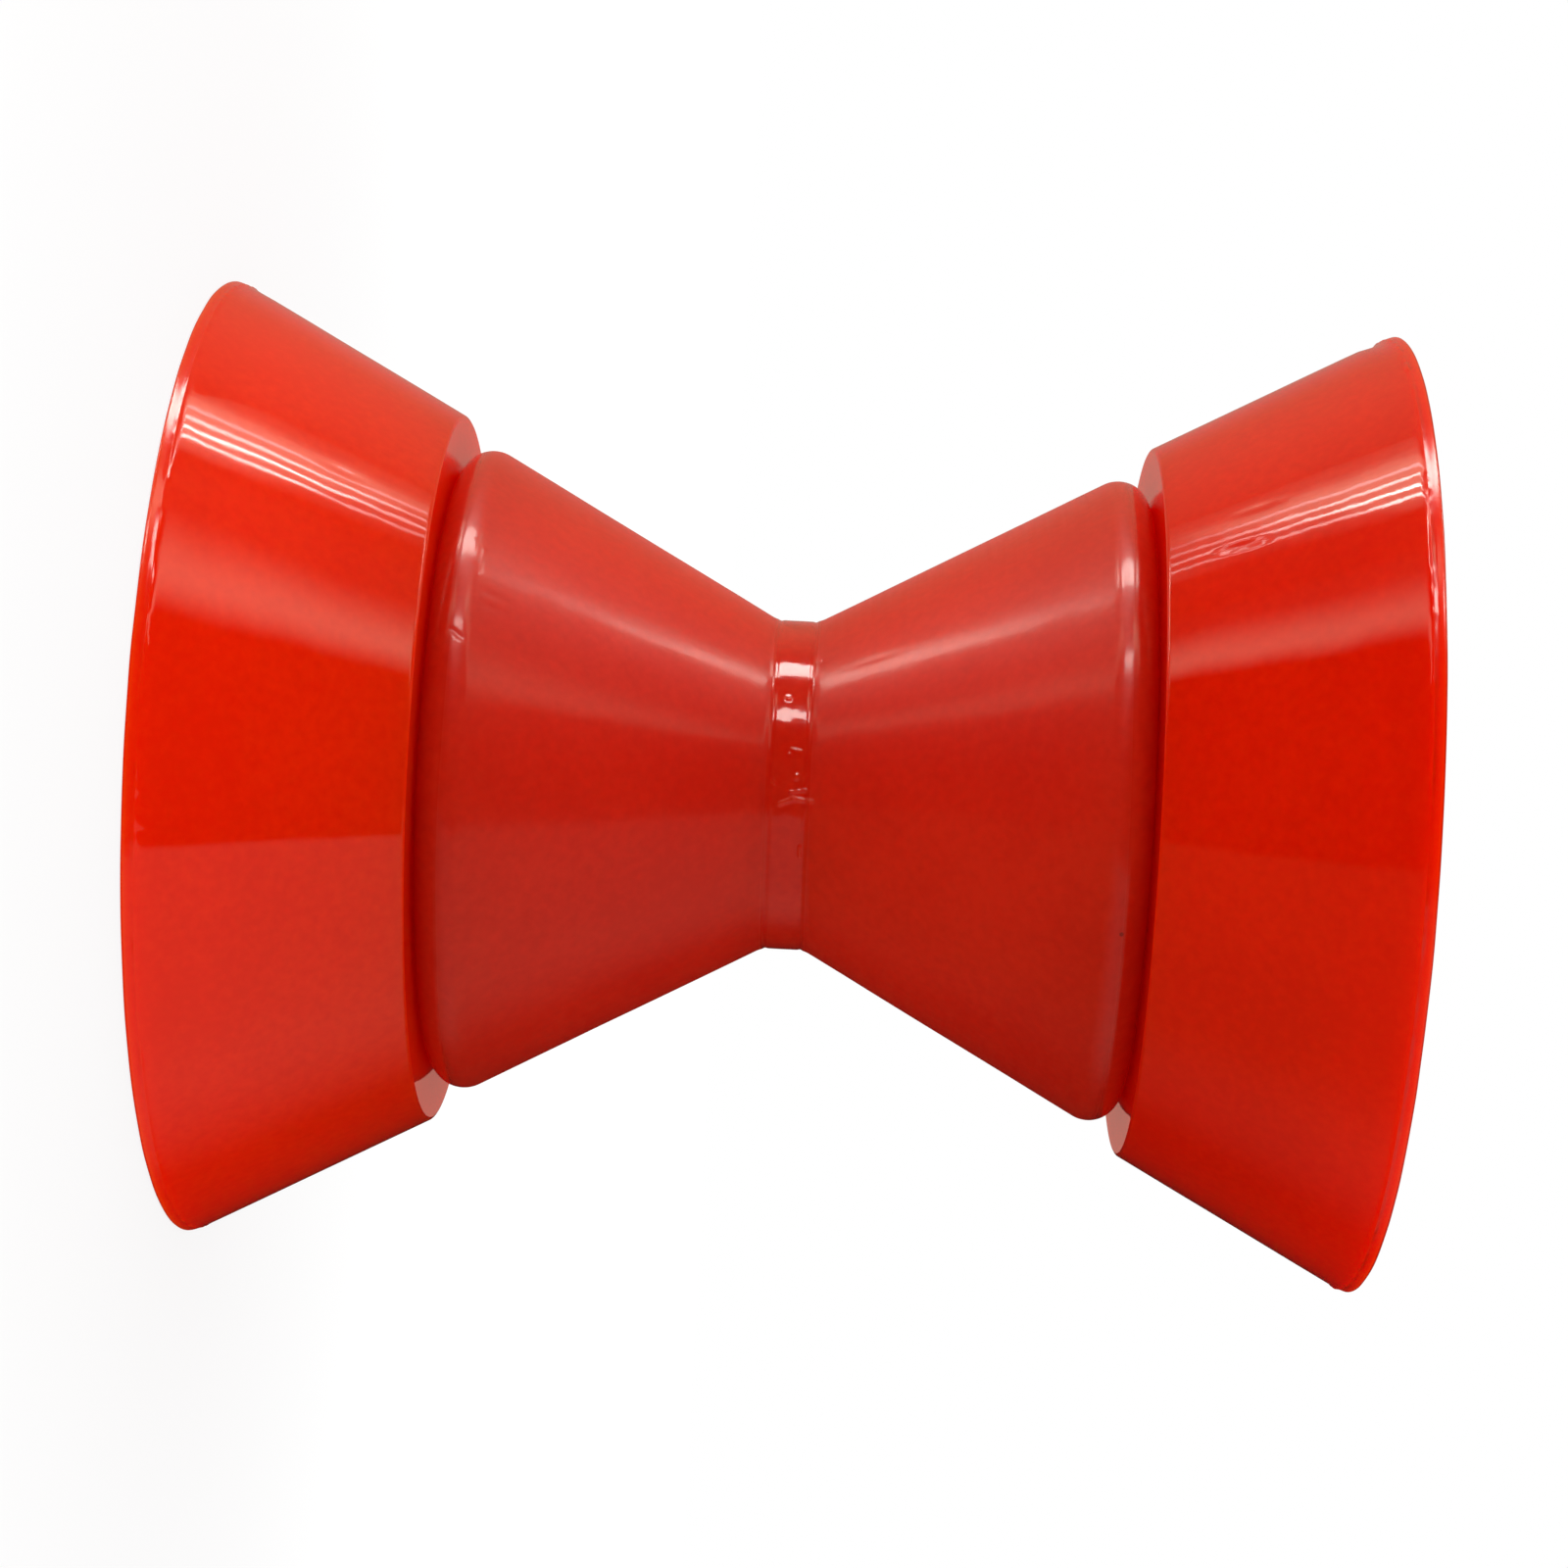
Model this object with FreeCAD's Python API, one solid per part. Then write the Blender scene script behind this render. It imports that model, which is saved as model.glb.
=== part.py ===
import FreeCAD, Part
import math
import os

# Boat trailer roller: a V-shaped centre roller between two end bells, all on one axis.
# Millimetres. The axis is Z, the set stands on the lower bell's outer face, and the
# origin is on the axis at the middle of the centre roller.

# Centre roller
roller_length = 76.2            # face to face
roller_end_diameter = 76.2      # where the cone would meet the end face, edge not rounded
roller_edge_radius = 2.8        # rounding of the two outer edges
waist_diameter = 37.0           # the narrow flat band that the keel rests on
waist_width = 4.6               # band width, before the blends
waist_blend_radius = 3.0        # soft turn from the band into each cone

# End bells
bell_thickness = 26.0           # inner face to outer face
bell_edge_step = 1.4            # how far the bell's small edge stands proud of the roller's end
bell_small_edge_radius = 0.5    # the small edge is nearly sharp
bell_rim_diameter = 106.6       # at the outer face, the largest size across the set
bell_rim_width = 1.3            # the narrow band beside the outer face, less steep than the cone
bell_rim_rise = 0.5             # how much the band's radius grows across that width
bell_rim_foot_radius = 0.25     # the crease between the cone and the band
bell_rim_edge_radius = 0.3      # the outer edge is trimmed, so it is nearly sharp

# What the three have in common
bore_diameter = 17.0            # plain bore for a 16 mm shaft
bore_chamfer = 0.8              # lead-in at every bore mouth
running_gap = 0.3               # between the roller's end face and a bell's inner face

# Worked out from the sizes above
bore_radius = bore_diameter / 2
bell_small_radius = roller_end_diameter / 2 + bell_edge_step
bell_cone_radius = bell_rim_diameter / 2 - bell_rim_rise
bell_inner_z = roller_length / 2 + running_gap
bell_outer_z = bell_inner_z + bell_thickness


def rounded_corner(before, corner, after, radius):
    """Start, middle and end of the arc that rounds a corner between two straight lines."""
    back = (before - corner).normalize()
    ahead = (after - corner).normalize()
    half_angle = back.getAngle(ahead) / 2
    reach = radius / math.tan(half_angle)
    depth = radius / math.sin(half_angle) - radius
    inwards = (back + ahead).normalize()
    return corner + back * reach, corner + inwards * depth, corner + ahead * reach


def rounded_outline(corners):
    """A closed outline in the XZ half plane from (distance from the axis, height, rounding) corners."""
    points = [FreeCAD.Vector(distance, 0, height) for distance, height, rounding in corners]
    count = len(points)
    arcs = []
    for i, (distance, height, rounding) in enumerate(corners):
        if rounding > 0:
            arcs.append(rounded_corner(points[i - 1], points[i], points[(i + 1) % count], rounding))
        else:
            arcs.append((points[i], None, points[i]))
    edges = []
    for i, (start, middle, end) in enumerate(arcs):
        if middle is not None:
            edges.append(Part.Arc(start, middle, end).toShape())
        next_start = arcs[(i + 1) % count][0]
        edges.append(Part.LineSegment(end, next_start).toShape())
    return Part.Wire(edges)


def turned_solid(corners):
    """The solid that the outline sweeps when it is turned once round the Z axis."""
    face = Part.Face(rounded_outline(corners))
    return face.revolve(FreeCAD.Vector(0, 0, 0), FreeCAD.Vector(0, 0, 1), 360)


def turned_over(corners):
    """The same outline below the middle of the roller, with its corners still in order round it."""
    return [(distance, -height, rounding) for distance, height, rounding in reversed(corners)]


def bore_mouth(face_height, inwards):
    """The two corners of a chamfered bore mouth, from the bore's wall out to the face."""
    return [
        (bore_radius, face_height + inwards * bore_chamfer, 0),
        (bore_radius + bore_chamfer, face_height, 0),
    ]


def make_bow_roller():
    """The centre roller: half of the waist band, a cone and an end face, and the same turned over."""
    end_height = roller_length / 2
    upper_half = [
        (waist_diameter / 2, waist_width / 2, waist_blend_radius),
        (roller_end_diameter / 2, end_height, roller_edge_radius),
    ] + bore_mouth(end_height, -1)[::-1]
    return turned_solid(upper_half + turned_over(upper_half))


def bell_outline():
    """The upper bell: inner face, cone that carries on the roller's V, rim band, outer face."""
    return bore_mouth(bell_inner_z, 1) + [
        (bell_small_radius, bell_inner_z, bell_small_edge_radius),
        (bell_cone_radius, bell_outer_z - bell_rim_width, bell_rim_foot_radius),
        (bell_rim_diameter / 2, bell_outer_z, bell_rim_edge_radius),
    ] + bore_mouth(bell_outer_z, -1)[::-1]


nodes = {
    "bow_roller": make_bow_roller(),
    "end_bell_upper": turned_solid(bell_outline()),
    "end_bell_lower": turned_solid(turned_over(bell_outline())),
}

os.makedirs("parts", exist_ok=True)
for name, shape in nodes.items():
    shape.exportStep(f"parts/{name}.step")
    print(f"{name}: {len(shape.Solids)} solid, valid {shape.isValid()}, {shape.Volume / 1000:.1f} cm3,",
          f"z {shape.BoundBox.ZMin:.2f} to {shape.BoundBox.ZMax:.2f}")
print(f"set: {2 * bell_outer_z:.1f} mm long, {bell_rim_diameter:.1f} mm across")
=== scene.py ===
# %% [markdown]
# # A boat trailer's bow roller, from the CAD frame to the finished picture
# The real object is three soft vinyl mouldings side by side on one shaft: a V-shaped roller
# that carries the keel, and two end bells that steer the hull back to the middle. They were
# cast in turned and polished moulds, so they are glossy, a little cloudy inside, and they
# keep small casting marks. The CAD frame fixes every size. This lesson adds the skin with
# its marks, the plastic, the light and the camera.

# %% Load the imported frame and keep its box
import math

import bpy
import numpy as np
from mathutils import Matrix, Vector, noise


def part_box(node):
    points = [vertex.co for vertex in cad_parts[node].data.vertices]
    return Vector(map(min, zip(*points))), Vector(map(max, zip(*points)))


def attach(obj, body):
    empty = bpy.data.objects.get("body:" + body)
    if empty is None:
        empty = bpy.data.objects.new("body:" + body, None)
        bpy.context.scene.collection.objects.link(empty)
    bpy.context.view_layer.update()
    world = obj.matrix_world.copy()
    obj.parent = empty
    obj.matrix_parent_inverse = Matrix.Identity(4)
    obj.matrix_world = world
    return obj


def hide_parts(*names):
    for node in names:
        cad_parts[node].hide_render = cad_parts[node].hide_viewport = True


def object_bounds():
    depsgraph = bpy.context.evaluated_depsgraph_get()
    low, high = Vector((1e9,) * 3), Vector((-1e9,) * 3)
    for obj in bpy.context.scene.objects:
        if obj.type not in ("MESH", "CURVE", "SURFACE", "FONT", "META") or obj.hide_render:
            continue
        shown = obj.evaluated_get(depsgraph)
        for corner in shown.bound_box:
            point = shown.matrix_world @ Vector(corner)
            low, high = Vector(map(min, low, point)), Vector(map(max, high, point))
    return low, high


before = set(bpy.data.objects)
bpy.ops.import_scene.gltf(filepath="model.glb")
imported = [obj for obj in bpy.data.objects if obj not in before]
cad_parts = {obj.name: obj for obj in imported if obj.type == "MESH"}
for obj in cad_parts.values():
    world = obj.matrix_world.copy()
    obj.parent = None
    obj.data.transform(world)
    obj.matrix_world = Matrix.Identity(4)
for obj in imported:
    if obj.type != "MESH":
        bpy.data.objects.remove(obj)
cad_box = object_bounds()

MM = 0.001
print("pieces in the frame:", sorted(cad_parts))
print("box in mm:", [round((high - low) / MM, 2) for low, high in zip(*cad_box)])

# %% [markdown]
# ## The camera
# The photograph was taken close up, square to the axis, with the set lying across the
# picture. In the frame the set stands on its lower bell, so the camera rolls a quarter turn:
# the picture's right is the frame's +Z and its top is the frame's -X. Two small angles
# remain, because the set was a little turned and tipped. The camera is built from its three
# directions, which is easier to read than a chain of rotations.

# %% Place the camera
view_distance = 393 * MM          # from the axis to the lens
set_turn = math.radians(-1.14)    # one bell is nearer to the lens than the other
set_tip = math.radians(2.9)       # the axis isn't level in the picture
aim_along = 0.77 * MM
aim_across = 0.12 * MM
picture_width = 1600              # pixels, the size of the photograph
focal_pixels = 3567               # how strong its perspective is
sensor_width = 36.0
nearest_seen = 10 * MM

along_axis = Vector((0, -math.sin(set_turn), math.cos(set_turn)))
across_axis = Vector((1, 0, 0))
towards_camera = Vector((0, -math.cos(set_turn), -math.sin(set_turn)))
picture_right = along_axis * math.cos(set_tip) - across_axis * math.sin(set_tip)
picture_down = along_axis * math.sin(set_tip) + across_axis * math.cos(set_tip)

camera_data = bpy.data.cameras.new("photo_camera")
camera_data.sensor_width = sensor_width
camera_data.lens = focal_pixels * sensor_width / picture_width
camera_data.clip_start = nearest_seen
camera = bpy.data.objects.new("photo_camera", camera_data)
bpy.context.scene.collection.objects.link(camera)
place = towards_camera * view_distance - picture_right * aim_along - picture_down * aim_across
turn = Matrix((picture_right, -picture_down, towards_camera)).transposed()
camera.matrix_world = Matrix.Translation(place) @ turn.to_4x4()
bpy.context.scene.camera = camera
print("lens in mm:", round(camera_data.lens, 2))

# %% [markdown]
# ## From an outline to a skin
# All three mouldings are turned shapes. A Screw modifier on a drawn curve would make them
# quickly, but every small mark would then run right round. So the outline is written as a
# few corners with their roundings, cut into rings, and the rings are carried round the axis
# by hand. Each point of the skin can then be pushed in or out on its own, and the casting
# marks become real shape, which still shows in the light of another scene.

# %% Round a corner of an outline
least_arc_step, arc_step = 0.12 * MM, 0.27 * MM   # the widest step of an arc lies between these
arc_turn = math.radians(7)                        # the most that an arc turns in one step
least_arc_steps = 4


def corner_arc(before, corner, after, radius, widest):
    """Points of the arc that rounds a corner, from one straight line to the next."""
    back = (before - corner).normalized()
    ahead = (after - corner).normalized()
    half = back.angle(ahead) / 2
    reach = radius / math.tan(half)
    middle = corner + (back + ahead).normalized() * (radius / math.sin(half))
    start = corner + back * reach - middle
    end = corner + ahead * reach - middle
    sweep = start.angle_signed(end)
    steps = max(least_arc_steps, math.ceil(abs(sweep) / arc_turn), math.ceil(abs(sweep) * radius / widest))
    return [middle + start @ Matrix.Rotation(sweep * i / steps, 2) for i in range(steps + 1)]


# %% Cut an outline into rings
finest_step = 0.07 * MM           # beside a corner, along a straight line
fine_division, step_growth = 20, 1.5


def line_steps(start, end, fine, coarse):
    """Points between two ends, close together at the ends and wider apart in the middle."""
    length = (end - start).length
    reach, step, places = 0.0, fine, []
    while reach + step < length / 2:
        reach += step
        places.append(reach)
        step = min(step * step_growth, coarse)
    if not places:
        return []
    gap = length - 2 * places[-1]
    inner = max(1, math.ceil(gap / coarse))
    middle = [places[-1] + gap * i / inner for i in range(1, inner)]
    marks = places + middle + [length - p for p in reversed(places)]
    return [start.lerp(end, m / length) for m in marks]


def outline_rings(corners):
    """Ring places, outward directions and sharp rings of (distance, height, rounding, step) corners."""
    points = [Vector(c[:2]) for c in corners]
    count = len(points)
    arcs = []
    for i, (distance, height, rounding, step) in enumerate(corners):
        before, corner, after = points[i - 1], points[i], points[(i + 1) % count]
        widest = max(least_arc_step, min(corners[i - 1][3], step, arc_step))
        arcs.append(corner_arc(before, corner, after, rounding, widest) if rounding else [corner])
    rings, sharp = [], []
    for i, arc in enumerate(arcs):
        step = corners[i][3]
        fine = max(finest_step, step / fine_division)
        between = line_steps(arc[-1], arcs[(i + 1) % count][0], fine, step)
        rings += arc + between
        sharp += [len(arc) == 1] * len(arc) + [False] * len(between)
    places = np.array([tuple(p) for p in rings])
    along = np.roll(places, -1, axis=0) - np.roll(places, 1, axis=0)
    outwards = np.stack([along[:, 1], -along[:, 0]], axis=1)
    outwards /= np.linalg.norm(outwards, axis=1)[:, None]
    return places, outwards, np.array(sharp)


# %% Carry the rings round the axis


def turn_steps(half_front, front_count, back_count):
    """Turns in radians, close together within half_front degrees of turn 0 and wide at the back."""
    edge = math.radians(half_front)
    front = np.linspace(-edge, edge, front_count, endpoint=False)
    back = np.linspace(edge, 2 * math.pi - edge, back_count, endpoint=False)
    return np.concatenate([front, back])


def turned_mesh(name, corners, turn, skin):
    """A closed mesh. skin(distance, height, turn) says how far each point stands out."""
    places, outwards, sharp = outline_rings(corners)
    segments = len(turn)
    distance, height = places[:, :1], places[:, 1:]
    push = np.where(sharp[:, None], 0, skin(distance, height, turn[None, :]))
    distance = distance + push * outwards[:, :1]
    height = height + push * outwards[:, 1:]
    verts = np.stack([distance * np.sin(turn), -distance * np.cos(turn), height], axis=-1)
    count = len(places)
    ring = np.arange(count)[:, None]
    seg = np.arange(segments)[None, :]
    next_ring, next_seg = (ring + 1) % count, (seg + 1) % segments
    corners_of_face = (ring, seg), (ring, next_seg), (next_ring, next_seg), (next_ring, seg)
    faces = np.stack([r * segments + s for r, s in corners_of_face], axis=-1).reshape(-1, 4)
    mesh = bpy.data.meshes.new(name)
    mesh.from_pydata(verts.reshape(-1, 3).tolist(), [], faces.tolist())
    mesh.polygons.foreach_set("use_smooth", [True] * len(mesh.polygons))
    for edge in mesh.edges:
        a, b = (v // segments for v in edge.vertices)
        edge.use_edge_sharp = a == b and bool(sharp[a])
    mesh.update()
    piece = bpy.data.objects.new(name, mesh)
    bpy.context.scene.collection.objects.link(piece)
    print(f"{name}: {count} rings of {segments}, {2 * len(faces)} triangles")
    return piece


# %% [markdown]
# ## Marks in the skin
# A place on a turned piece is a height on the axis and a turn about it, and turn 0 faces the
# camera. A mark is the distance from a spot or a line, given a profile: soft like a dome or
# plain like a tent. A noise that closes on itself after one turn adds unevenness. Each gives
# a number, and the piece multiplies it by a real depth in millimetres. A sculpting brush
# would do it too, but a mark that is written down can be moved or deepened at any time.

# %% Tools for marks


def around(distance, turn, at_turn):
    """The distance round the piece from a turn in degrees, the short way."""
    off = (turn - math.radians(at_turn) + math.pi) % (2 * math.pi) - math.pi
    return distance * off


def from_spot(distance, height, turn, place, long, wide):
    """How far each point is from a (height in mm, turn in degrees) place, in sizes of the spot."""
    up = (height / MM - place[0]) / long
    side = around(distance / MM, turn, place[1]) / wide
    return np.sqrt(up ** 2 + side ** 2)


def from_line(distance, height, turn, start, end, width):
    """How far each point is from the line between two (height, turn) places, in widths."""
    up = height / MM - start[0] + 0 * turn
    side = around(distance / MM, turn, start[1])
    run_up = end[0] - start[0]
    run_side = distance / MM * math.radians(end[1] - start[1])
    length_squared = run_up ** 2 + run_side ** 2
    share = np.clip((up * run_up + side * run_side) / length_squared, 0, 1)
    return np.hypot(up - share * run_up, side - share * run_side) / width


def soft(off):
    """A dome that fades out softly."""
    return np.exp(-off ** 2)


def tent(off):
    """A ridge or a peak with plain slopes, which catch a lamp over their whole width."""
    return np.clip(1 - off, 0, None)


def ring_noise(turn, swells, seed):
    """Noise from -1 to 1 with about this many swells in one turn, which meets its own start."""
    reach = swells / (2 * math.pi)
    flat = turn.ravel()
    values = [noise.noise((reach * math.cos(t), reach * math.sin(t), seed)) for t in flat]
    return np.array(values).reshape(turn.shape)


def skin_noise(distance, height, turn, size, seed):
    """Noise from -1 to 1 over the whole skin, with swells of about this size in metres."""
    x = (distance * np.sin(turn) / size).ravel()
    y = (distance * np.cos(turn) / size).ravel()
    z = ((height + 0 * turn) / size + seed).ravel()
    values = [noise.noise(p) for p in zip(x.tolist(), y.tolist(), z.tolist())]
    return np.array(values).reshape((distance + turn).shape)


# %% [markdown]
# ## Sizes
# The heights come from the frame's boxes, so the pieces stay where the CAD has them. The
# rest repeats the CAD's own sizes: bore, waist band, lips, and the rim band of the bells.
# Only the roller's lips are a little rounder here, as the light on them shows.

# %% Sizes of the mouldings
bore_radius = 8.5 * MM
bore_chamfer = 0.8 * MM
waist_radius = 18.5 * MM
waist_half_width = 2.3 * MM
waist_blend = 3.0 * MM
roller_end_radius = 38.1 * MM      # where the cone would meet the end face
roller_lip = 3.4 * MM
bell_edge_proud = 1.4 * MM
bell_small_edge = 0.5 * MM
rim_radius = 53.3 * MM             # where the rim band would meet the outer face
rim_width = 1.3 * MM
rim_rise = 0.5 * MM
rim_crease = 0.25 * MM
rim_edge = 0.3 * MM
face_swell = 0.14 * MM             # soft faces swell towards each other in the CAD's running gap
roller_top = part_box("bow_roller")[1].z + face_swell
bell_low, bell_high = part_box("end_bell_upper")
bell_low.z -= face_swell
wide_step, bore_step = 6 * MM, 5 * MM
print("roller to", round(roller_top / MM, 2), "mm from its middle")
print("bell from", round(bell_low.z / MM, 2), "to", round(bell_high.z / MM, 2), "mm")

# %% Outlines of the mouldings


def turned_over(corners):
    """The outline below the middle, its corners still in order and each step on its own line."""
    back = list(reversed(corners))
    steps = [back[(i + 1) % len(back)][3] for i in range(len(back))]
    return [(d, -h, rounding, step) for (d, h, rounding, _), step in zip(back, steps)]


# %% [markdown]
# ## The roller
# The keel rides in the V, on a narrow band at the waist. The mould's polish was best on the
# band, and so were the accidents: a blister, some scratches from stripping the casting, and
# specks. The lips at the two ends are rounded, not quite evenly, and scored here and there.
# Soft vinyl bulges, so the end faces swell into the CAD's running gap and almost close it.

# %% Outline of the roller
cone_step, band_step = 1.8 * MM, 0.11 * MM
roller_corners = [
    (waist_radius, -waist_half_width, waist_blend, band_step),
    (waist_radius, waist_half_width, waist_blend, cone_step),
    (roller_end_radius, roller_top, roller_lip, wide_step),
    (bore_radius + bore_chamfer, roller_top, 0, bore_chamfer),
    (bore_radius, roller_top - bore_chamfer, 0, bore_step),
    (bore_radius, -roller_top + bore_chamfer, 0, bore_chamfer),
    (bore_radius + bore_chamfer, -roller_top, 0, wide_step),
    (roller_end_radius, -roller_top, roller_lip, cone_step),
]
print("corners in the roller's outline:", len(roller_corners))

# %% Marks on the roller, in millimetres and degrees
bore_margin, face_margin = 2 * MM, 0.01 * MM    # the bore and the faces stay plain
blister, blister_long, blister_wide, blister_height = (-0.45, -30.6), 0.36, 0.33, 0.12
scratches = (
    ((-0.8, 6.2), (0.6, 4.5), 0.34, 0.294), ((0.6, 4.5), (2.7, 5.1), 0.32, 0.28),
    ((0.3, 2.3), (2.0, 1.3), 0.25, 0.168), ((-1.7, -1.6), (-1.4, -0.4), 0.25, 0.154),
    ((1.6, 20.9), (1.6, 24.3), 0.24, 0.196), ((0.3, -12.0), (1.2, -11.4), 0.28, 0.112),
    ((-33.9, -42.5), (-33.7, -37.5), 0.25, 0.07), ((-35.2, -23.6), (-34.1, -22.2), 0.35, -0.098),
    ((-32.9, -41.0), (-33.2, -35.0), 0.2, 0.056),
)
band_specks = ((0.0, -10.1), 0.35, 0.10), ((0.9, -2.8), 0.55, 0.23), ((2.7, -46.9), 0.3, 0.1)
cone_pits = (-31.8, -32.0), (-31.6, -29.4), (-17.0, -42.0), (8.4, -39.7), (20.9, -18.4), (2.8, -46.5)
pit_long, pit_wide = 0.5, 0.4
pit_depth, tallest_mark = 0.06, 0.3
print("marks on the roller:", 1 + len(scratches) + len(band_specks) + len(cone_pits))

# %% Skin of the roller
swell, small_swell, sink = 0.035, 0.012, 0.04   # sink keeps the swells inside the CAD's outline
swell_size, small_swell_size = 14 * MM, 5 * MM
band_edge, edge_width, edge_depth = 1.95, 0.22, 0.10
lip_middle, lip_width, lip_swell, lip_swells = 36.6, 1.6, 0.06, 60
band_reach, wrinkle, wrinkle_size = 2.2, 0.014, 1.1 * MM
swell_seed, small_swell_seed, lip_seed, wrinkle_seed = 3.0, 8.0, 20.0, 31.0


def roller_skin(distance, height, turn):
    """How far each point of the roller stands out."""
    at = (distance, height, turn)
    level = height / MM
    outside = (distance > bore_radius + bore_margin) & (abs(height) < roller_top - face_margin)
    push = swell * skin_noise(*at, swell_size, swell_seed) - sink
    push = push + small_swell * skin_noise(*at, small_swell_size, small_swell_seed)
    for side in (-1, 1):
        push = push - edge_depth * soft((level - side * band_edge) / edge_width)
        uneven = ring_noise(turn, lip_swells, lip_seed + side)
        push = push + lip_swell * soft((level - side * lip_middle) / lip_width) * uneven
    on_band = soft((level / band_reach) ** 3)
    push = push + wrinkle * on_band * skin_noise(*at, wrinkle_size, wrinkle_seed)
    push = push + blister_height * soft(from_spot(*at, blister, blister_long, blister_wide))
    for start, end, width, depth in scratches:
        push = push + depth * tent(from_line(*at, start, end, width))
    for place, size, depth in band_specks:
        push = push + depth * tent(from_spot(*at, place, size, size))
    for place in cone_pits:
        push = push - pit_depth * soft(from_spot(*at, place, pit_long, pit_wide))
    return np.where(outside, np.minimum(push, tallest_mark) * MM, 0)


roller_turns = turn_steps(half_front=60, front_count=270, back_count=138)
roller = turned_mesh("keel_roller", roller_corners, roller_turns, roller_skin)

# %% [markdown]
# ## The end bells
# Each bell is a solid cone with a narrow rim band. The two halves of its mould met at the
# foot of the band, and the plastic that crept between them was trimmed by hand, which left a
# thin, uneven ridge round the crease. One bell has a shallow hollow beside the rim, where
# the knife went in too far. A ridge of its own, laid on the bell, would show a seam, so the
# ridge and the hollow are pushes on the same rings. Both bells are the same outline, turned
# over for the lower one, with marks of their own.

# %% Outline of a bell
rim_step = 0.2 * MM
bell_corners = [
    (bore_radius, bell_low.z + bore_chamfer, 0, bore_chamfer),
    (bore_radius + bore_chamfer, bell_low.z, 0, wide_step),
    (roller_end_radius + bell_edge_proud, bell_low.z, bell_small_edge, cone_step),
    (rim_radius - rim_rise, bell_high.z - rim_width, rim_crease, rim_step),
    (rim_radius, bell_high.z, rim_edge, wide_step),
    (bore_radius + bore_chamfer, bell_high.z, 0, bore_chamfer),
    (bore_radius, bell_high.z - bore_chamfer, 0, bore_step),
]
print("corners in a bell's outline:", len(bell_corners))

# %% Marks on the bells, in millimetres and degrees
crease_height = (bell_high.z - rim_width) / MM
burr_width, burr_height = 0.2, 0.15
burr_mean, burr_least, burr_most = 0.55, 0.1, 1.3
burr_swing, burr_swells, burr_fine_swing, burr_fine_swells = 0.9, 90, 0.5, 260
knife_height, knife_width, knife_depth, knife_swells = crease_height + 1.2, 0.35, 0.08, 50
hollow_height, hollow_turn, hollow_long, hollow_wide = crease_height - 1.1, -90, 0.9, 14
upper_pits = (45.5, -38.2), (46.9, -44.5), (45.6, 25.9), (48.1, 28.3), (50.7, 31.4)
lower_pits = (-46.7, -42.8), (-62.6, 4.9), (-62.7, 8.6)
bell_pit_depth = 0.09
bell_swell, small_bell_swell, bell_sink, bell_swell_size = 0.035, 0.01, 0.035, 16 * MM
face_reach, face_sink = 0.02 * MM, 0.01   # the outer face may sink but never stand proud

# %% Skin of a bell


def bell_skin(side, seed, pits, hollow_depth):
    """The skin of one bell. side is 1 for the upper one and -1 for the lower one."""

    def skin(distance, height, turn):
        at = (distance, height, turn)
        level = side * height / MM
        outside = (distance > bore_radius + bore_margin) & (side * height > bell_low.z + face_margin)
        on_face = np.abs(side * height - bell_high.z) < face_reach
        push = bell_swell * skin_noise(*at, bell_swell_size, seed) - bell_sink
        push = push + small_bell_swell * skin_noise(*at, small_swell_size, seed + 5)
        burr = burr_mean + burr_swing * ring_noise(turn, burr_swells, seed)
        burr = burr + burr_fine_swing * ring_noise(turn, burr_fine_swells, seed + 1)
        burr = np.clip(burr, burr_least, burr_most) * soft((level - crease_height) / burr_width)
        cut = 0.5 + 0.5 * ring_noise(turn, knife_swells, seed + 2)
        cut = cut * soft((level - knife_height) / knife_width)
        hollow_at = (side * hollow_height, hollow_turn)
        hollow = soft(from_spot(*at, hollow_at, hollow_long, hollow_wide))
        push = push + burr_height * burr - knife_depth * cut - hollow_depth * hollow
        for place in pits:
            push = push - bell_pit_depth * soft(from_spot(*at, place, pit_long, pit_wide))
        push = np.where(on_face, np.minimum(push, -face_sink), push)
        return np.where(outside, push * MM, 0)

    return skin


bell_turns = turn_steps(half_front=95, front_count=440, back_count=200)
upper_skin = bell_skin(side=1, seed=2.0, pits=upper_pits, hollow_depth=0.3)
upper_bell = turned_mesh("upper_bell", bell_corners, bell_turns, upper_skin)
lower_skin = bell_skin(side=-1, seed=11.0, pits=lower_pits, hollow_depth=0.05)
lower_bell = turned_mesh("lower_bell", turned_over(bell_corners), bell_turns, lower_skin)

# %% Say what each moulding rides on and stands for
for piece, body, node, slot in (
    (roller, "roller", "bow_roller", "roller_plastic"),
    (upper_bell, "bell_upper", "end_bell_upper", "bell_plastic"),
    (lower_bell, "bell_lower", "end_bell_lower", "bell_plastic"),
):
    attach(piece, body)
    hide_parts(node)

# %% [markdown]
# ## Tools for materials
# Materials are made of nodes. `add` puts one node in a tree, sets it up, and joins or fills
# its inputs by name, or by number where a node has several inputs of one name. Four kinds
# come up all the time and get a shortcut: sums, a ramp from one number to another, a mix of
# two colours, and a colour ramp with stops. Three more measure where a point is. `new_group`
# starts a node group, which is a finish with its own knobs that several materials can share.

# %% Put a node in a tree


def add(tree, kind, inputs=None, **settings):
    """A node with its settings made, and each input given a value or joined to a socket."""
    made = tree.nodes.new("ShaderNode" + kind)
    for name, value in settings.items():
        setattr(made, name, value)
    for name, value in (inputs or {}).items():
        if isinstance(value, bpy.types.NodeSocket):
            tree.links.new(value, made.inputs[name])
        else:
            made.inputs[name].default_value = value
    return made


# %% Shortcuts for the commonest nodes


def calc(tree, operation, *values, **settings):
    """A sum on one, two or three numbers."""
    return add(tree, "Math", dict(enumerate(values)), operation=operation, **settings).outputs[0]


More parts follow.
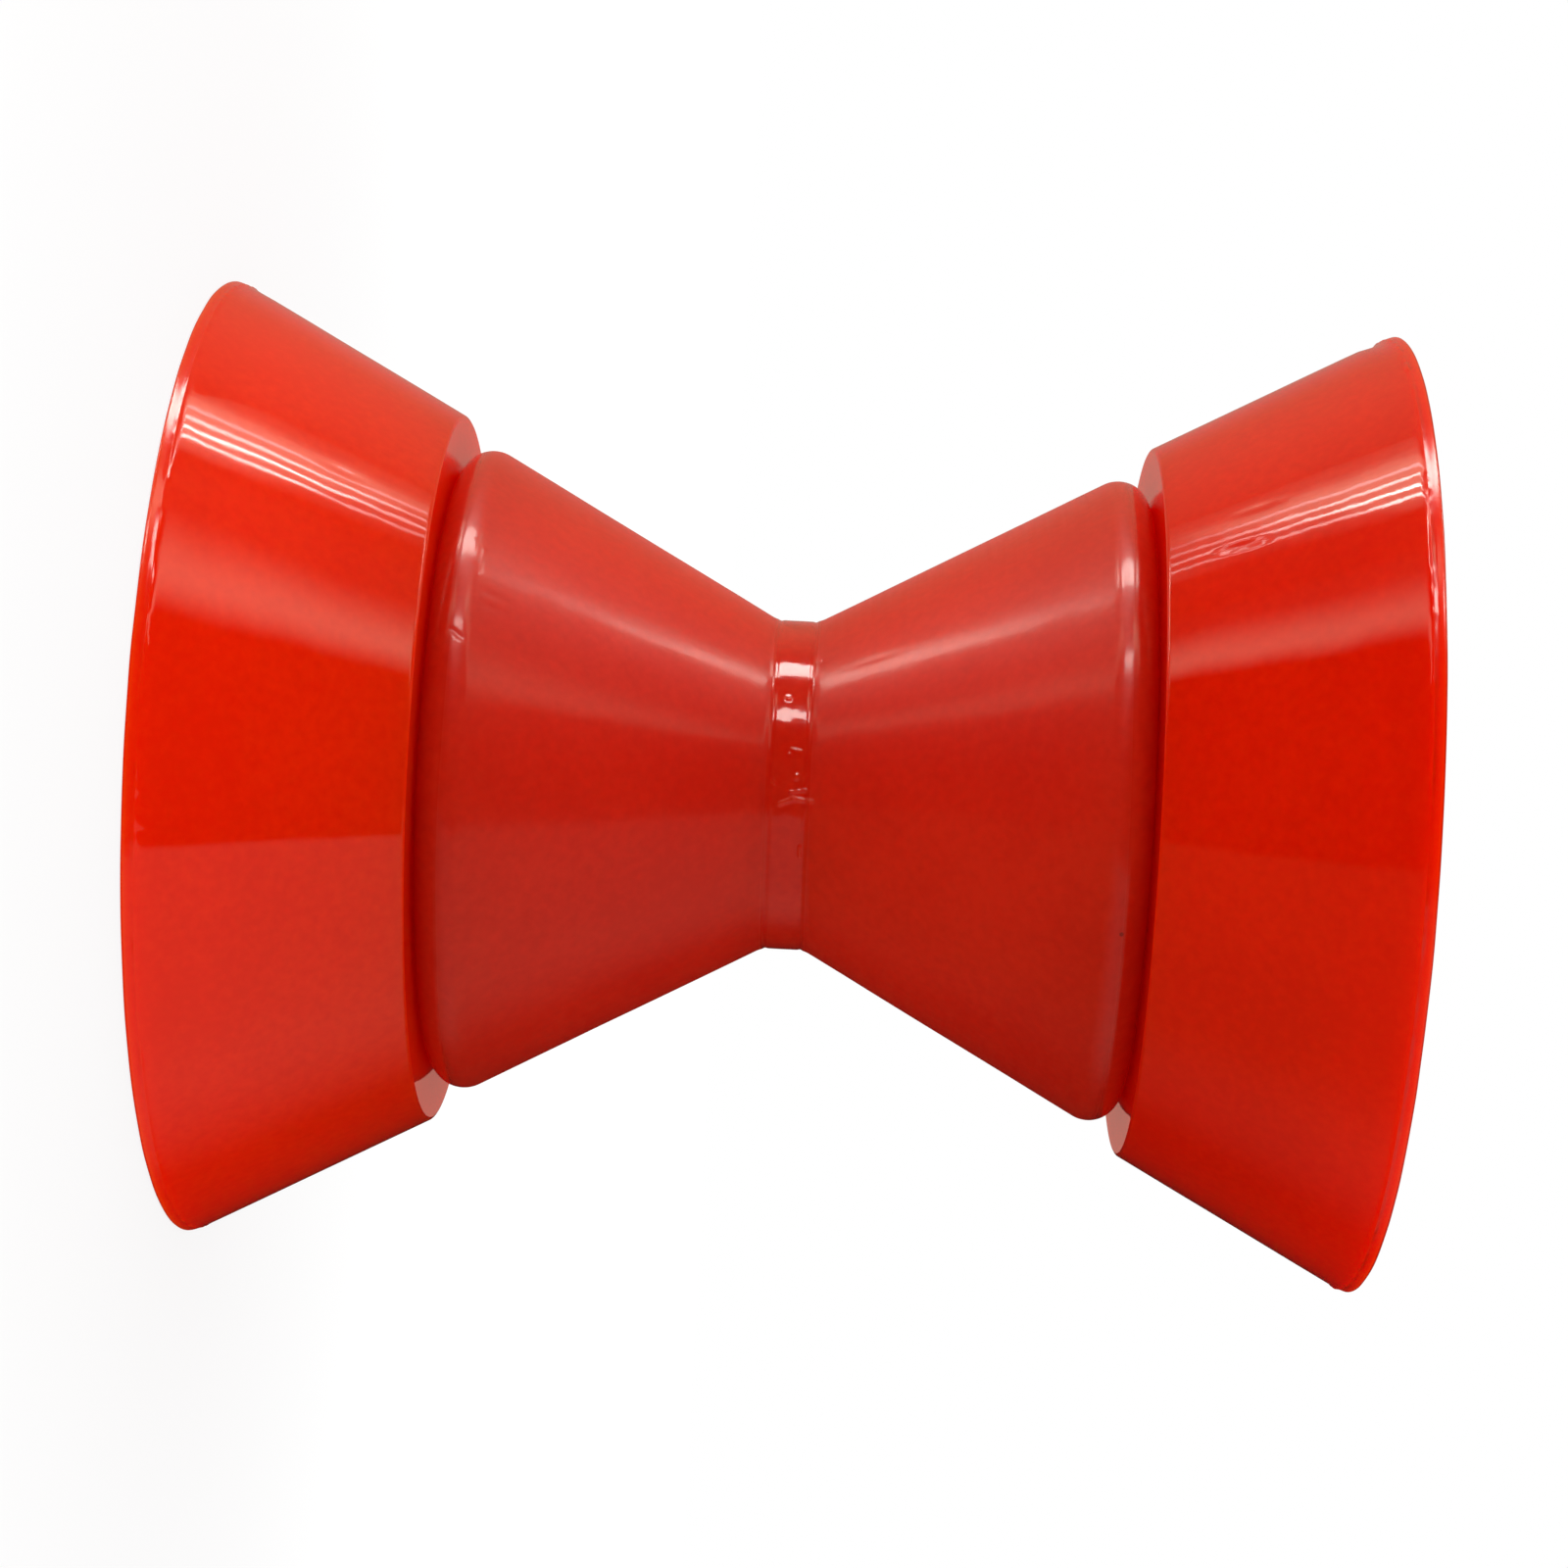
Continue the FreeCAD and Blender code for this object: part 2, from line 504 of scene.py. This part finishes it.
def ramp(tree, value, start, end, low=0.0, high=1.0, smooth=False):
    """low up to start, high from end on, and a straight or smooth climb between them."""
    limits = {"Value": value, "From Min": start, "From Max": end, "To Min": low, "To Max": high}
    way = "SMOOTHSTEP" if smooth else "LINEAR"
    return add(tree, "MapRange", limits, interpolation_type=way).outputs[0]


def mix_colours(tree, share, first, second, way="MIX"):
    """A mix of two colours. A Mix node's inputs 6 and 7 are its colours."""
    inputs = {0: share, 6: first, 7: second}
    return add(tree, "Mix", inputs, data_type="RGBA", blend_type=way).outputs[2]


def colour_stops(tree, value, stops, way="LINEAR"):
    """A ramp through (share of the way, colour) stops."""
    node = add(tree, "ValToRGB", {"Fac": value})
    node.color_ramp.interpolation = way
    elements = node.color_ramp.elements
    while len(elements) < len(stops):
        elements.new(0.5)
    for element, (at, colour) in zip(elements, stops):
        element.position = at
        element.color = (*colour, 1)
    return node.outputs[0]


# %% Where a point is


def off_axis(tree, place):
    """The part of a place that leads away from the axis, as a vector."""
    parts = add(tree, "SeparateXYZ", {"Vector": place}).outputs
    return add(tree, "CombineXYZ", {"X": parts["X"], "Y": parts["Y"], "Z": 0.0}).outputs[0]


def length_of(tree, vector):
    return add(tree, "VectorMath", {0: vector}, operation="LENGTH").outputs["Value"]


def height_of(tree, place):
    return add(tree, "SeparateXYZ", {"Vector": place}).outputs["Z"]


# %% Make and place a node group


def new_group(name, inputs, outputs):
    """A node group with (label, kind, value) inputs and (label, kind) outputs."""
    group = bpy.data.node_groups.new(name, "ShaderNodeTree")
    for label, kind, value in inputs:
        socket = group.interface.new_socket(label, in_out="INPUT", socket_type="NodeSocket" + kind)
        socket.default_value = value
    for label, kind in outputs:
        group.interface.new_socket(label, in_out="OUTPUT", socket_type="NodeSocket" + kind)
    given = group.nodes.new("NodeGroupInput").outputs
    wanted = group.nodes.new("NodeGroupOutput").inputs
    return group, given, wanted


def use_group(tree, group, values):
    """The group placed in a material, with its own values."""
    placed = tree.nodes.new("ShaderNodeGroup")
    placed.node_tree = group
    for name, value in values.items():
        placed.inputs[name].default_value = value
    return placed.outputs


# %% [markdown]
# ## Clouds in the plastic
# The colour was stirred into hot liquid vinyl and never mixes quite evenly. Large pale
# clouds and a fine mottle, both from noise in the piece's own space, keep the red from
# looking like paint. The space belongs to the piece, so the clouds turn with it. A painted
# image could show the same, but it would need a seam somewhere, and noise has none.

# %% The clouds group
pale_from, pale_to, grain_share = 0.35, 0.7, 1.6
clouds, given, wanted = new_group(
    "clouds",
    [("Colour", "Color", (0.8, 0.02, 0.0, 1)), ("Pale colour", "Color", (0.9, 0.03, 0.0, 1)),
     ("Cloud size", "Float", 40.0), ("Mottle size", "Float", 1000.0), ("Mottle", "Float", 0.06)],
    [("Colour", "Color")],
)
place_on = add(clouds, "TexCoord").outputs["Object"]
cloud = add(clouds, "TexNoise", {"Vector": place_on, "Scale": given["Cloud size"], "Detail": 3.0})
grain = add(clouds, "TexNoise", {"Vector": place_on, "Scale": given["Mottle size"], "Detail": 3.0})
share = ramp(clouds, cloud.outputs["Fac"], pale_from, pale_to)
swing = calc(clouds, "SUBTRACT", grain.outputs["Fac"], 0.5)
patchy = calc(clouds, "MULTIPLY_ADD", swing, grain_share, share, use_clamp=True)
blend = mix_colours(clouds, patchy, given["Colour"], given["Pale colour"])
level = calc(clouds, "MULTIPLY_ADD", swing, given["Mottle"], 1.0)
mottled = add(clouds, "HueSaturation", {"Color": blend, "Value": level})
clouds.links.new(mottled.outputs[0], wanted["Colour"])
print("nodes in clouds:", len(clouds.nodes))

# %% [markdown]
# ## The cast skin
# A turned mould leaves faint rings, and vinyl shrinks as it cools, which leaves a soft
# orange peel. Both only bend the reflections a little, so they are a bump, in metres of
# real height. The rings follow a vector made of the direction round the axis, kept small,
# and the place along the outline, kept large: noise along it is stretched round the piece.

# %% The cast skin group
cast_skin, given, wanted = new_group(
    "cast_skin",
    [("Peel depth", "Float", 0.00002), ("Peel size", "Float", 250.0),
     ("Ring depth", "Float", 0.000004), ("Ring size", "Float", 900.0)],
    [("Height", "Float"), ("Rubbed", "Float")],
)
place_on = add(cast_skin, "TexCoord").outputs["Object"]
outwards = off_axis(cast_skin, place_on)
direction = add(cast_skin, "VectorMath", {0: outwards}, operation="NORMALIZE").outputs[0]
along = calc(cast_skin, "ADD", height_of(cast_skin, place_on), length_of(cast_skin, outwards))
reach = calc(cast_skin, "MULTIPLY", along, given["Ring size"])
lift = add(cast_skin, "CombineXYZ", {"Z": reach}).outputs[0]
ring_at = add(cast_skin, "VectorMath", {0: direction, 1: lift}, operation="ADD").outputs[0]
rings = add(cast_skin, "TexNoise", {"Vector": ring_at, "Scale": 1.0, "Detail": 2.0}).outputs["Fac"]
peel = add(cast_skin, "TexNoise", {"Vector": place_on, "Scale": given["Peel size"], "Detail": 2.0})
peel_height = calc(cast_skin, "MULTIPLY", peel.outputs["Fac"], given["Peel depth"])
total = calc(cast_skin, "MULTIPLY_ADD", rings, given["Ring depth"], peel_height)
cast_skin.links.new(total, wanted["Height"])
cast_skin.links.new(rings, wanted["Rubbed"])
print("nodes in cast_skin:", len(cast_skin.nodes))

# %% [markdown]
# ## Specks
# Dust in the mould and small air bubbles leave specks about half a millimetre across. A
# Voronoi texture scatters one point in every cell of space, and a second, random number
# keeps only a few of the cells, so that the specks don't look like a pattern. Only the
# largest are pushes in the skin: thousands of them would need millions of faces.

# %% The specks group
specks, given, wanted = new_group(
    "specks",
    [("Cells", "Float", 150.0), ("Size", "Float", 0.06), ("Share kept", "Float", 0.15)],
    [("Mask", "Float")],
)
place_on = add(specks, "TexCoord").outputs["Object"]
cells = add(specks, "TexVoronoi", {"Vector": place_on, "Scale": given["Cells"]}).outputs
near = calc(specks, "LESS_THAN", cells["Distance"], given["Size"])
chance = add(specks, "SeparateColor", {"Color": cells["Color"]}).outputs["Red"]
kept = calc(specks, "LESS_THAN", chance, given["Share kept"])
specks.links.new(calc(specks, "MULTIPLY", near, kept), wanted["Mask"])
print("nodes in specks:", len(specks.nodes))

# %% [markdown]
# ## The vinyl
# Soft vinyl is a clear plastic full of pigment. Light enters, spreads and comes out redder,
# which is Subsurface: red travels for centimetres and green for a few millimetres, so the
# groove between the pieces is a deep red and not black. A plain glossy red would look like
# painted wood. Everything that the three mouldings have in common is made here: the clouds,
# the cast skin and the specks, which are darker than the plastic around them and stand up a
# little. How rough each place is follows how much the mould was rubbed there.

# %% Make the vinyl
soft_depth = 45 * MM              # how far red light spreads
spread_of_colours = 1.0, 0.12, 0.06
speck_height = 0.03 * MM
speck_darkness = 0.45             # a share of the plain colour
rubbed_from, rubbed_to = 0.3, 0.7


def opaque(colour):
    """A colour with its alpha, as sockets want it."""
    return (*colour, 1)


def vinyl(name, colour, pale_colour, cloud_look, skin_look, speck_look):
    """A pigmented soft vinyl: its material, node tree, shader, plain red and skin."""
    material = bpy.data.materials.new(name)
    material.use_nodes = True
    tree = material.node_tree
    shader = tree.nodes["Principled BSDF"]
    shader.inputs["Subsurface Weight"].default_value = 1.0
    shader.inputs["Subsurface Radius"].default_value = spread_of_colours
    shader.inputs["Subsurface Scale"].default_value = soft_depth
    reds = {"Colour": opaque(colour), "Pale colour": opaque(pale_colour)}
    cloudy = use_group(tree, clouds, {**reds, **cloud_look})["Colour"]
    skin = use_group(tree, cast_skin, skin_look)
    speck = use_group(tree, specks, speck_look)["Mask"]
    dark_red = opaque([part * speck_darkness for part in colour])
    red = mix_colours(tree, speck, cloudy, dark_red)
    height = calc(tree, "MULTIPLY_ADD", speck, speck_height, skin["Height"])
    bump = add(tree, "Bump", {"Height": height, "Distance": 1.0, "Strength": 1.0}).outputs[0]
    tree.links.new(bump, shader.inputs["Normal"])
    tree.links.new(bump, shader.inputs["Coat Normal"])
    return material, tree, shader, red, skin


# %% [markdown]
# ## Vinyl of the bells
# The bells have a plain gloss of IOR 1.5, and the lamps show sharp in them, but not in the
# outer part of the rim band, which was trimmed with a knife. Light leaks out of a sharp rim,
# and little of it reaches the thick end beside the roller. The real bells show an even red
# all the same, so painted shade darkens the colour from the small end to the rim.

# %% Make the vinyl of the bells
bell_gloss, trimmed_gloss = (0.02, 0.05), 0.16
trimmed_from, trimmed_to = 62.7 * MM, 63.1 * MM


def bell_vinyl(name, colour, pale_colour, rim_painted_shade):
    """The bells' vinyl, with painted shade towards the rim: the last argument has (share of the way to the
    rim, red kept) pairs.
    """
    material, tree, shader, red, skin = vinyl(
        name, colour, pale_colour, {"Cloud size": 35.0, "Mottle": 0.10},
        {"Peel depth": 0.000012, "Peel size": 220.0, "Ring depth": 0.000002},
        {"Cells": 130.0, "Size": 0.05, "Share kept": 0.08},
    )
    shader.inputs["IOR"].default_value = 1.5
    place_on = add(tree, "TexCoord").outputs["Object"]
    from_middle = calc(tree, "ABSOLUTE", height_of(tree, place_on))
    gloss = ramp(tree, skin["Rubbed"], rubbed_from, rubbed_to, *bell_gloss)
    trimmed = ramp(tree, from_middle, trimmed_from, trimmed_to)
    rough = add(tree, "Mix", {0: trimmed, 2: gloss, 3: trimmed_gloss}, data_type="FLOAT")
    tree.links.new(rough.outputs[0], shader.inputs["Roughness"])
    # Painted shade: the red darkens from the small end to the rim, against the light that leaks out of the
    # sharp rim.
    to_rim = ramp(tree, length_of(tree, off_axis(tree, place_on)), roller_end_radius, rim_radius)
    kept = colour_stops(tree, to_rim, [(at, (share, 1, 1)) for at, share in rim_painted_shade])
    shade_painted_red = mix_colours(tree, 1.0, red, kept, "MULTIPLY")
    tree.links.new(shade_painted_red, shader.inputs["Base Color"])
    return material


# %% Two batches of colour, one for each bell
# The last pairs for each bell are painted shade towards the rim, deeper on the upper bell.
lower_bell_vinyl = bell_vinyl("lower_bell_vinyl", (0.68, 0.0125, 0.0005), (0.73, 0.0175, 0.0009),
                              ((0, 1), (0.75, 0.96), (1, 0.78)))
upper_bell_vinyl = bell_vinyl("upper_bell_vinyl", (0.68, 0.0080, 0.0001), (0.74, 0.0110, 0.0002),
                              ((0, 1), (0.8, 0.76), (1, 0.5)))
print("nodes in a bell's vinyl:", len(lower_bell_vinyl.node_tree.nodes))

# %% [markdown]
# ## Vinyl of the roller
# The roller's cones came from a duller mould. A rough base spreads the lamps to a haze, and
# a thin coat on it keeps a narrow highlight. The band at the waist and the lips at the two
# ends are polished, so the roughness follows the height, with a soft change at each edge.

# %% Vinyl of the roller, hazy on the cones and polished on the band and the lips
haze, polish = (0.36, 0.42), 0.04
band_polished_to, cone_hazy_from = 1.9 * MM, 2.6 * MM
cone_hazy_to, lip_polished_from = 34.5 * MM, 37.2 * MM
roller_vinyl, tree, shader, red, skin = vinyl(
    "roller_vinyl", (0.53, 0.0095, 0.0025), (0.59, 0.0140, 0.0038),
    {"Cloud size": 45.0, "Mottle": 0.12},
    {"Peel depth": 0.00002, "Peel size": 420.0, "Ring depth": 0.000006},
    {"Cells": 150.0, "Size": 0.05, "Share kept": 0.1},
)
tree.links.new(red, shader.inputs["Base Color"])
shader.inputs["IOR"].default_value = 1.3
shader.inputs["Coat Weight"].default_value = 0.5
shader.inputs["Coat IOR"].default_value = 1.4
shader.inputs["Coat Roughness"].default_value = 0.12
place_on = add(tree, "TexCoord").outputs["Object"]
from_middle = calc(tree, "ABSOLUTE", height_of(tree, place_on))
off_band = ramp(tree, from_middle, band_polished_to, cone_hazy_from)
off_lip = ramp(tree, from_middle, lip_polished_from, cone_hazy_to)
hazy = calc(tree, "MULTIPLY", off_band, off_lip)
rubbed = ramp(tree, skin["Rubbed"], rubbed_from, rubbed_to, *haze)
rough = add(tree, "Mix", {0: hazy, 2: polish, 3: rubbed}, data_type="FLOAT")
tree.links.new(rough.outputs[0], shader.inputs["Roughness"])

# %% Put the vinyl on the mouldings
for piece, made in ((roller, roller_vinyl), (upper_bell, upper_bell_vinyl), (lower_bell, lower_bell_vinyl)):
    piece.data.materials.append(made)
    print(piece.name, "is made of", made.name)

# %% [markdown]
# ## Lamps
# Glossy plastic shows its surroundings, so the lamps stand where the photograph's highlights
# ask for them. Rows of four thin tubes with a soft glow behind them give the fine lines, one
# row for each way that the cones lean. Two slanted panels in front give the broad pale
# bands, and two short lamps give the two bright patches on the waist. A lamp's strength here
# is a radiance, and radiance 1 looks like plain white. The lamps act on reflections only:
# the light that fills the colours comes from the room. Ramps in a lamp's own nodes shape its
# edges, because a bare area lamp would end in a hard line.

# %% Make a lamp


def soft_box(name, centre, across, along, radiance, shape=None, tint=(1.0, 0.97, 0.9), slant=0.0):
    """An area lamp that faces the axis. shape has (share of the way, brightness) pairs for X and Y."""
    lamp = bpy.data.lights.new(name, "AREA")
    lamp.shape = "RECTANGLE"
    lamp.size = across
    lamp.size_y = along
    lamp.energy = radiance * across * along * math.pi
    lamp.color = tint
    lamp.use_nodes = True
    tree = lamp.node_tree
    spot = add(tree, "SeparateXYZ", {"Vector": add(tree, "NewGeometry").outputs["Parametric"]}).outputs
    strength = 1.0
    for way, profile in (shape or {}).items():
        greys = [(at, (level, level, level)) for at, level in profile]
        strength = calc(tree, "MULTIPLY", strength, colour_stops(tree, spot[way], greys, "EASE"))
    if shape:
        tree.links.new(strength, tree.nodes["Emission"].inputs["Strength"])
    holder = bpy.data.objects.new(name, lamp)
    holder.visible_diffuse = False
    bpy.context.scene.collection.objects.link(holder)
    facing = Vector((1, 0, 0)).to_track_quat("-Z", "Y").to_matrix()
    turn = Matrix.Rotation(slant, 4, "X") @ facing.to_4x4()
    holder.matrix_world = Matrix.Translation(centre) @ turn
    return holder


# %% Hang the two rows of tubes
lamp_height = 1.0
warm = (1.0, 0.93, 0.66)
row_along = 1.39                  # from the middle of the set to the middle of a row
row_length = 2.02
tube_width, tube_spacing = 0.015, 0.051
tube_radiances = 8, 18, 32, 28
glow_width, glow_offset, glow_radiance = 0.41, 0.035, 3.8
fade = (0, 1), (0.05, 0.85), (0.07, 0.65), (0.095, 0.22), (0.122, 0.12), (0.165, 0.3), (0.21, 0.88)
other_fade = tuple((1 - at, level) for at, level in reversed(fade))
glow = (0, 0.05), (0.146, 0.14), (0.22, 0.3), (0.293, 0.65), (0.366, 0.95), (0.76, 1), (0.86, 0.5), (1, 0)
for side, z, row_y, row_fade in (("low", -row_along, 0.043, other_fade), ("high", row_along, 0.006, fade)):
    for i, radiance in enumerate(tube_radiances):
        tube_at = (-lamp_height, row_y + (1.5 - i) * tube_spacing, z)
        soft_box(f"tube_{side}_{i}", tube_at, tube_width, row_length, radiance, {"Y": row_fade})
    glow_at = (-lamp_height, row_y + glow_offset, z)
    glow_shape = {"X": glow, "Y": row_fade}
    soft_box(f"tube_glow_{side}", glow_at, glow_width, row_length, glow_radiance, glow_shape, warm)
print("tubes in each row:", len(tube_radiances))

# %% Hang the two panels and the two waist lamps
low_across = (0, 0), (0.2, 0.06), (0.66, 1), (1, 0)
low_along = (0, 0.7), (0.87, 0.7), (0.92, 1), (1, 1)
high_across = (0, 0), (0.3, 0.06), (0.68, 1), (1, 0)
high_along = (0, 1), (0.09, 1), (0.13, 0.62), (1, 0.62)
low_shape, high_shape = {"X": low_across, "Y": low_along}, {"X": high_across, "Y": high_along}
low_slant, high_slant = math.radians(-12), math.radians(26)
low_at, high_at = (-lamp_height, -0.67, -1.3), (-lamp_height, -0.86, 1.3)
waist_at, waist_front_at = (-lamp_height, -0.065, 0), (-lamp_height, -0.86, 0)
soft_box("panel_low", low_at, across=0.5, along=2.0, radiance=2.5,
         shape=low_shape, tint=warm, slant=low_slant)
soft_box("panel_high", high_at, across=0.7, along=2.2, radiance=3.4,
         shape=high_shape, tint=warm, slant=high_slant)
soft_box("waist_lamp", waist_at, across=0.21, along=0.56, radiance=18)
soft_box("waist_lamp_front", waist_front_at, across=0.21, along=0.6, radiance=16)
print("lamps:", len(bpy.data.lights))

# %% [markdown]
# ## The room
# The world is three things at once. For the camera it is the white of the backdrop. For
# scattered light it is a soft fill from all round, strongest from the picture's top, so that
# a colour looks about as it is written. For reflections it is the room: pale and warm behind
# the set, dark round the camera, with a grey table on the low side that ends in a crisp
# edge. Straight behind, where every surface mirrors strongly, is a warm wall. Sampling of
# the world is off, because a lamp list can't tell a reflection from scattered light, and the
# rays then find the world by themselves. Directions are the frame's: -X is the picture's
# top, and -Y is towards the camera. A picture of a real studio could take the room's place,
# but here each edge is a number, and can be moved until its reflection fits the photograph.

# %% The room, as reflections see it
world = bpy.data.worlds.new("room")
bpy.context.scene.world = world
world.cycles.sampling_method = "NONE"
world.use_nodes = True
tree = world.node_tree
tree.nodes.clear()
facing = add(tree, "SeparateXYZ", {"Vector": add(tree, "TexCoord").outputs["Generated"]}).outputs
black, wall_tone = (0, 0, 0, 1), (1.0, 0.9, 0.56, 1)
behind_from, behind_to, behind_level = 0.05, 0.35, 0.3
ceiling_from, ceiling_to, dimmest, ceiling_level = -0.55, -0.85, 0.015, 0.16
behind = ramp(tree, facing["Y"], behind_from, behind_to, 0.0, behind_level, smooth=True)
ceiling = ramp(tree, facing["X"], ceiling_from, ceiling_to, dimmest, ceiling_level, smooth=True)
warm_walls = mix_colours(tree, calc(tree, "ADD", behind, ceiling), black, wall_tone)

# %% The table in the reflections, with its crisp edge
table_tones = (0.2, (0.15, 0.12, 0.05)), (0.5, (0.42, 0.4, 0.34)), (0.8, (0.44, 0.43, 0.32))
table_shade = (0.012, 0.01, 0.008, 1)
edge_place, edge_lean = 0.39, 0.16            # where the table ends in front, and how askew
edge_from, edge_to = -0.01, 0.015
under_from, under_to = -0.05, 0.6
table_tone = colour_stops(tree, ramp(tree, facing["Z"], -1.0, 1.0), table_tones)
in_front = calc(tree, "MINIMUM", facing["Y"], 0.0)
edge_slope = calc(tree, "MULTIPLY_ADD", facing["Z"], edge_lean, edge_place)
past_edge = calc(tree, "MULTIPLY_ADD", in_front, edge_slope, facing["X"])
on_table = ramp(tree, past_edge, edge_from, edge_to)
under_set = ramp(tree, facing["Y"], under_from, under_to, smooth=True)
table = mix_colours(tree, under_set, table_tone, table_shade)
walls = mix_colours(tree, on_table, warm_walls, table)

# %% The warm wall straight behind the set
back_wall_tone = (0.5, 0.25, 0.2, 1)
wall_from, wall_to = 0.8, 0.95
foot_from, foot_to = 0.12, 0.105
straight_behind = ramp(tree, facing["Y"], wall_from, wall_to, smooth=True)
above_table_end = ramp(tree, facing["X"], foot_from, foot_to)
back_wall = calc(tree, "MULTIPLY", straight_behind, above_table_end)
room = mix_colours(tree, back_wall, walls, back_wall_tone)

# %% Join the three looks of the world
fill_from, fill_to, fill_least, fill_most = -0.05, -1.0, 0.84, 1.36
lean_to_top, lean_to_right = -0.2, 0.1    # the fill grows a little to the picture's top and right
path = add(tree, "LightPath").outputs
white = (1, 1, 1, 1)
from_all_round = ramp(tree, facing["X"], fill_from, fill_to, fill_least, fill_most)
from_above = calc(tree, "MULTIPLY_ADD", facing["X"], lean_to_top, from_all_round)
from_side = calc(tree, "MULTIPLY_ADD", facing["Z"], lean_to_right, from_above)
fill = add(tree, "Background", {"Color": white, "Strength": from_side}).outputs[0]
reflected = add(tree, "Background", {"Color": room, "Strength": 1.0}).outputs[0]
backdrop = add(tree, "Background", {"Color": white, "Strength": 1.0}).outputs[0]
light = add(tree, "MixShader", {0: path["Is Glossy Ray"], 1: fill, 2: reflected}).outputs[0]
shown = add(tree, "MixShader", {0: path["Is Camera Ray"], 1: light, 2: backdrop}).outputs[0]
tree.links.new(shown, add(tree, "OutputWorld").inputs[0])
print("nodes in the room:", len(tree.nodes))

# %% [markdown]
# ## The floor
# The set stands on a plain pale sheet. The camera sees the sheet as white, and only close to
# the set does its own shaded grey mix in, so the contact shadow stays and no horizon shows.
# For other rays the sheet is a light table: the fill comes through it from below, so the rim
# that stands on it is as bright as the one on top.

# %% Lay the floor
floor_reach = 1.5
level = cad_box[0].z
floor_mesh = bpy.data.meshes.new("floor")
sides = (-1, -1), (1, -1), (1, 1), (-1, 1)
floor_corners = [(x * floor_reach, y * floor_reach, level) for x, y in sides]
floor_mesh.from_pydata(floor_corners, [], [(0, 1, 2, 3)])
floor = bpy.data.objects.new("floor", floor_mesh)
bpy.context.scene.collection.objects.link(floor)
floor.visible_glossy = False
floor.visible_diffuse = False
floor.visible_shadow = False
print("floor at", round(level / MM, 1), "mm")

# %% The pale paper on it
paper_grey = (0.74, 0.74, 0.74, 1)
shade_reach, white_reach = 0.06, 0.3   # metres from the axis, where the white starts and is full
least_white = 0.78
camera_white = 1.06                    # a little over 1, so that no trace of grey is left
paper = bpy.data.materials.new("pale_paper")
paper.use_nodes = True
tree = paper.node_tree
shader = tree.nodes["Principled BSDF"]
shader.inputs["Base Color"].default_value = paper_grey
shader.inputs["Roughness"].default_value = 0.9
place_on = add(tree, "NewGeometry").outputs["Position"]
from_set = length_of(tree, off_axis(tree, place_on))
plain = ramp(tree, from_set, shade_reach, white_reach, least_white, 1.0, smooth=True)
amount = calc(tree, "MULTIPLY", add(tree, "LightPath").outputs["Is Camera Ray"], plain)
lift = add(tree, "Emission", {"Strength": camera_white}).outputs[0]
blend = add(tree, "MixShader", {0: amount, 1: shader.outputs[0], 2: lift}).outputs[0]
tree.links.new(blend, tree.nodes["Material Output"].inputs[0])
floor_mesh.materials.append(paper)
print("the floor is", floor_mesh.materials[0].name)

# %% [markdown]
# ## The last settings
# Standard shows colours as they are computed.

bpy.context.scene.view_settings.view_transform = "Standard"
